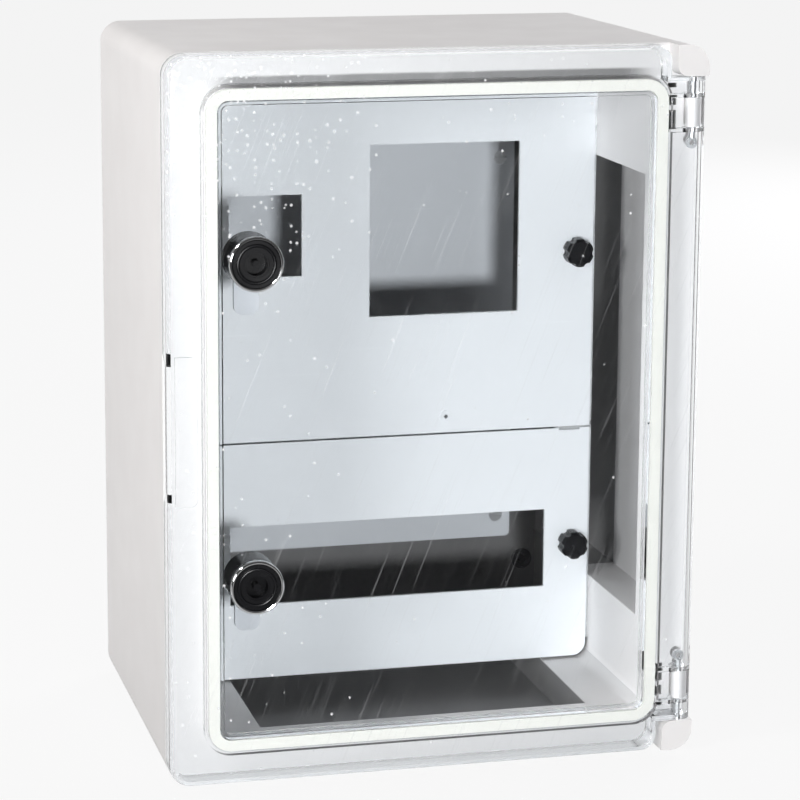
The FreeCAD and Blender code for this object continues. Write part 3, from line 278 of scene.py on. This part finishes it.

# Painted shade in the deep ends of the side recesses, the recesses of the floor and the top, and
# inside behind the panels.
side_recess = product(tree, within(tree, apart["X"], opening_wall, 0.1486),
                      within(tree, apart["Z"], anywhere, 0.1266), within(tree, place["Y"], -0.0880, back_wall))
end_recess = product(tree, within(tree, apart["Z"], 0.1778, 0.1986), within(tree, apart["X"], anywhere, 0.0952),
                     within(tree, place["Y"], -0.1955, back_wall))
painted_shade_recesses = worked_out(tree, "MAXIMUM", side_recess, end_recess)
inside = product(tree, within(tree, apart["X"], anywhere, opening_wall), within(tree, apart["Z"], anywhere, 0.1778),
                 within(tree, place["Y"], panel_rear, back_wall))

# Painted shadow in the gutter between the collar and the top edge, made uneven along it.
gutter_patchiness = put(tree, "TexNoise", {"Vector": spot, "Scale": 60.0, "Detail": 4.0}).outputs["Fac"]
gutter = product(tree, ramp(tree, place["Z"], 0.1797, 0.1812, 0, 1), ramp(tree, place["Z"], 0.1856, 0.1880, 1, 0),
                 ramp(tree, apart["X"], 0.100, 0.134, 1, 0), ramp(tree, place["Y"], -0.2040, -0.2045, 0, 1),
                 ramp(tree, gutter_patchiness, 0.30, 0.55, 0.78, 1.0))

# Painted light on the flange under the hinge edge, and on the opening's wall beside it, which are made paler.
flange = product(tree, ramp(tree, place["X"], 0.112, 0.126, 0, 1), ramp(tree, apart["Z"], 0.181, 0.183, 1, 0),
                 ramp(tree, place["Y"], -0.2035, -0.2045, 0, 1))
mouth = product(tree, within(tree, place["X"], 0.1228, opening_wall), within(tree, place["Y"], -0.2140, -0.1090),
                within(tree, apart["Z"], anywhere, 0.1772))
painted_light_area = worked_out(tree, "MAXIMUM", flange, mouth)
shade_base(housing_plastic, product(
    tree, ramp(tree, painted_shade_recesses, 0, 1, 1.0, recess_painted_shade), ramp(tree, gutter, 0, 1, 1.0, gutter_painted_shade),
    ramp(tree, painted_light_area, 0, 1, 1.0, flange_painted_light), ramp(tree, inside, 0, 1, 1.0, inside_painted_shade)))
dress(["box_body"], housing_plastic)

# Mounting plate: a grey painted steel sheet on the bosses of the back wall, held
# by four countersunk slotted screws.
plate_paint = finish_of("plate_paint", (0.70, 0.72, 0.75), drift=0.03, grain_size=900, gloss=(0.45, 0.6), bump=0.08)
dress(["mounting_plate"], plate_paint)


# Steel fittings: bright zinc plated rails, tabs, hinge pins and screws, and the
# cams of the locks with their screws, which are a dull grey.
def named(*starts):
    # The CAD nodes whose names start with one of these words.
    return [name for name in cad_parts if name.startswith(starts)]


bright_zinc = finish_of("zinc_plate", (0.60, 0.61, 0.62), drift=0.08, grain_size=3000, gloss=(0.26, 0.42),
                        bump=0.05, metal=1.0)
dress(named("hinge_pin", "side_rail", "knob_latch", "mounting_plate_screws"), bright_zinc)
dull_zinc = finish_of("dull_zinc", (0.60, 0.62, 0.65), drift=0.03, grain_size=1200, gloss=(0.5, 0.65),
                      bump=0.06, metal=0.1)
dress(named("lock_cam", "cam_screw"), dull_zinc)


# Wall hole grommets: black rubber, turned, each with a thin skin that closes the
# hole until a screw goes through it. They replace the plain washers.
def turned(name, centre, rings, segments=96, closed=True):
    # A piece turned about an axis along Y: a circle drawn out ring by ring.
    merge_distance, smooth_angle = 0.000001, math.radians(32)
    x, z = centre
    radius, depth = rings[0]
    bpy.ops.object.select_all(action="DESELECT")
    bpy.ops.mesh.primitive_circle_add(
        vertices=segments, radius=radius, location=(x, depth, z), rotation=(math.pi / 2, 0, 0))
    piece = bpy.context.object
    piece.name = name
    bpy.ops.object.mode_set(mode="EDIT")
    bpy.ops.mesh.select_all(action="SELECT")
    for next_radius, next_depth in rings[1:]:
        bpy.ops.mesh.extrude_region_move(TRANSFORM_OT_translate={"value": (0, next_depth - depth, 0)})
        bpy.ops.transform.resize(value=(next_radius / radius,) * 3, center_override=(x, next_depth, z))
        radius, depth = next_radius, next_depth
    bpy.ops.mesh.select_all(action="SELECT")
    bpy.ops.mesh.remove_doubles(threshold=merge_distance)
    if closed:
        bpy.ops.mesh.fill_holes(sides=0)
        bpy.ops.mesh.select_all(action="SELECT")
    bpy.ops.mesh.normals_make_consistent(inside=False)
    bpy.ops.object.mode_set(mode="OBJECT")
    bpy.ops.object.transform_apply(location=True, rotation=True, scale=True)
    bpy.ops.object.shade_smooth_by_angle(angle=smooth_angle)
    return piece


black_rubber = finish_of("black_rubber", (0.02, 0.02, 0.022), drift=0.2, grain_size=900, gloss=(0.5, 0.65), bump=0.2)
hole_x, hole_z, grommet_segments = 0.115, 0.145, 48
grommet_rings = ((0.0034, -0.0004), (0.0034, -0.0031), (0.0063, -0.0031), (0.0065, -0.0034), (0.0065, -0.0041),
                 (0.0061, -0.0045), (0.0048, -0.0045), (0.0046, -0.0042), (0.0041, -0.0042),
                 (0.0038, -0.0045), (0.0031, -0.0045), (0.0028, -0.0042), (0.0024, -0.0010),
                 (0.0006, -0.0010), (0.0004, -0.0014))
grommets = [turned("wall_grommet", (x, z), grommet_rings, segments=grommet_segments)
            for x in (-hole_x, hole_x) for z in (-hole_z, hole_z)]
bpy.ops.object.select_all(action="DESELECT")
for piece in grommets:
    piece.select_set(True)
bpy.context.view_layer.objects.active = grommets[0]
bpy.ops.object.join()
grommets[0].name = "wall_grommets"
grommets[0].data.materials.append(black_rubber)
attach(grommets[0], "enclosure")
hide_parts("wall_hole_washers")

# Cover panels: pale grey sheet, smooth and satin, with the windows punched out. The
# rear side is darkened with painted shade, and painted light makes the panels paler towards the bottom.
panel_plastic = finish_of("panel_plastic", (0.78, 0.80, 0.82), drift=0.015, grain_size=2200,
                          gloss=(0.34, 0.46), bump=0.03)
rear_painted_shade, low_painted_light, high_painted_shade = 0.06, 1.07, 0.95
tree = panel_plastic.node_tree
place = along_axes(tree, put(tree, "TexCoord").outputs["Object"])
# Painted shade darkens the rear side, and painted light makes the panels paler towards the bottom and darker towards
# the top.
shade_base(panel_plastic, product(tree, ramp(tree, place["Y"], -0.1105, -0.1101, 1.0, rear_painted_shade),
                                  ramp(tree, place["Z"], -0.12, 0.16, low_painted_light, high_painted_shade)))
dress(["upper_panel", "lower_panel"], panel_plastic)

# Panel knobs: black plastic quarter-turn knobs with six hollows, pushed through the
# panel. Each holds a steel tab behind it.
black_plastic = finish_of("black_plastic", (0.005, 0.005, 0.006), drift=0.2, grain_size=1800, gloss=(0.20, 0.30),
                          bump=0.03, scratches=0.0, specular=0.2)
dress(named("panel_knob"), black_plastic)

# Door: one clear moulding, thick at its rim, with the ribs of the gasket channel and
# a grip. It has been handled, so there are specks of dust and hair scratches.
clear_cover = bpy.data.materials.new("clear_cover")
tree = blank_tree(clear_cover)
spot = put(tree, "TexCoord").outputs["Object"]
place = along_axes(tree, spot)
smears = put(tree, "TexNoise", {"Vector": spot, "Scale": 14.0, "Detail": 5.0}).outputs["Fac"]
gloss = ramp(tree, smears, 0.35, 0.7, 0.0, 0.06, "LINEAR")
glass = put(tree, "BsdfPrincipled", {"Base Color": (0.965, 0.978, 0.990, 1), "Roughness": gloss,
                                     "IOR": 1.46, "Transmission Weight": 1.0,
                                     "Specular Tint": (0.35, 0.36, 0.38, 1)}).outputs[0]

# Round specks of dust, close together at the upper left and sparse elsewhere.
leftward = ramp(tree, place["X"], -0.12, -0.03, 0.9, 0.05, "LINEAR")
uphill = ramp(tree, place["Z"], 0.08, 0.15, 0.10, 1.0, "LINEAR")
crowd = worked_out(tree, "MULTIPLY", leftward, uphill)
cells = put(tree, "TexVoronoi", {"Vector": spot, "Scale": 300.0}).outputs
sparse = worked_out(tree, "LESS_THAN", along_axes(tree, cells["Color"])["X"], crowd)
dot = ramp(tree, cells["Distance"], 0.08, 0.32, 0.75, 0.0, "LINEAR")
specks = worked_out(tree, "MULTIPLY", dot, sparse)

# Long thin scratches, leaning to the right, on the outer face alone as the dust is.
outer_face = within(tree, place["Y"], -0.2300, -0.2185)
leaning = put(tree, "Mapping", {"Vector": spot, "Rotation": (0.0, -1.19, 0.0),
                                "Scale": (0.07, 0.07, 0.0014)}, vector_type="TEXTURE").outputs[0]
hairs = put(tree, "TexNoise", {"Vector": leaning, "Scale": 1.0, "Detail": 1.0, "Distortion": 0.2}).outputs["Fac"]
hair = ramp(tree, hairs, 0.60, 0.76, 0.0, 0.09, "LINEAR")
dust = worked_out(tree, "MULTIPLY", worked_out(tree, "MAXIMUM", specks, hair), outer_face)
chalk = put(tree, "BsdfDiffuse", {"Color": (0.95, 0.95, 0.97, 1)}).outputs[0]
# Half of each speck and hair scratch is a painted glow, an emission that shines without any lamp.
speck_glow = put(tree, "Emission", {"Color": plain_white, "Strength": 1.1}).outputs[0]
surface = mixed(tree, dust, glass, mixed(tree, 0.5, chalk, speck_glow))

# Light that falls through the door goes straight on. Diffuse light that passes through it is dimmed, a painted shade
# that darkens the inside of the box.
rays = put(tree, "LightPath").outputs
dimmed_bounce_way = put(tree, "BsdfTransparent", {"Color": (0.74, 0.75, 0.76, 1)}).outputs[0]
open_way = put(tree, "BsdfTransparent", {"Color": (0.97, 0.98, 0.985, 1)}).outputs[0]
blend = mixed(tree, rays["Is Shadow Ray"], mixed(tree, rays["Is Diffuse Ray"], surface, dimmed_bounce_way), open_way)
put(tree, "OutputMaterial", {"Surface": blend})
dress(["door_cover"], clear_cover)

# Gasket: cream foam poured into the channel of the door, where it sets as one ring
# with a dull open skin.
foam = finish_of("gasket_foam", (0.93, 0.92, 0.86), drift=0.02, grain_size=700, gloss=(0.7, 0.85), bump=0.3)
dress(["door_gasket"], foam)

# Locks: black barrels through the pane with a rubber washer behind it, a raised
# ring round the key recess, and a chrome ring with a rolled lip in front.
dress(named("lock_housing", "lock_insert"), black_plastic)
dress(named("lock_seal"), black_rubber)
chrome = finish_of("bright_chrome", (0.80, 0.80, 0.81), drift=0.02, grain_size=4000, gloss=(0.04, 0.12),
                   bump=0.02, metal=1.0)
lock_x, lock_height = -0.1018, 0.0886
lip_rings = ((0.01285, -0.2200), (0.0150, -0.2200), (0.0150, -0.2212), (0.01480, -0.22185),
             (0.01440, -0.22230), (0.01390, -0.2225), (0.01345, -0.22240), (0.01310, -0.22205),
             (0.01290, -0.22150), (0.01285, -0.2208), (0.01285, -0.2200))
ridge_rings = ((0.0092, -0.2215), (0.0092, -0.2219), (0.0094, -0.22225), (0.0098, -0.2224), (0.0104, -0.2224),
               (0.0108, -0.22225), (0.0110, -0.2219), (0.0110, -0.2215), (0.0092, -0.2215))
for side, lock_z in (("upper", lock_height), ("lower", -lock_height)):
    ring = turned("lock_ring_" + side, (lock_x, lock_z), lip_rings, closed=False)
    ring.data.materials.append(chrome)
    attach(ring, "door")
    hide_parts("lock_bezel_" + side)
    ridge = turned("lock_ridge_" + side, (lock_x, lock_z), ridge_rings, closed=False)
    ridge.data.materials.append(black_plastic)
    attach(ridge, "door")
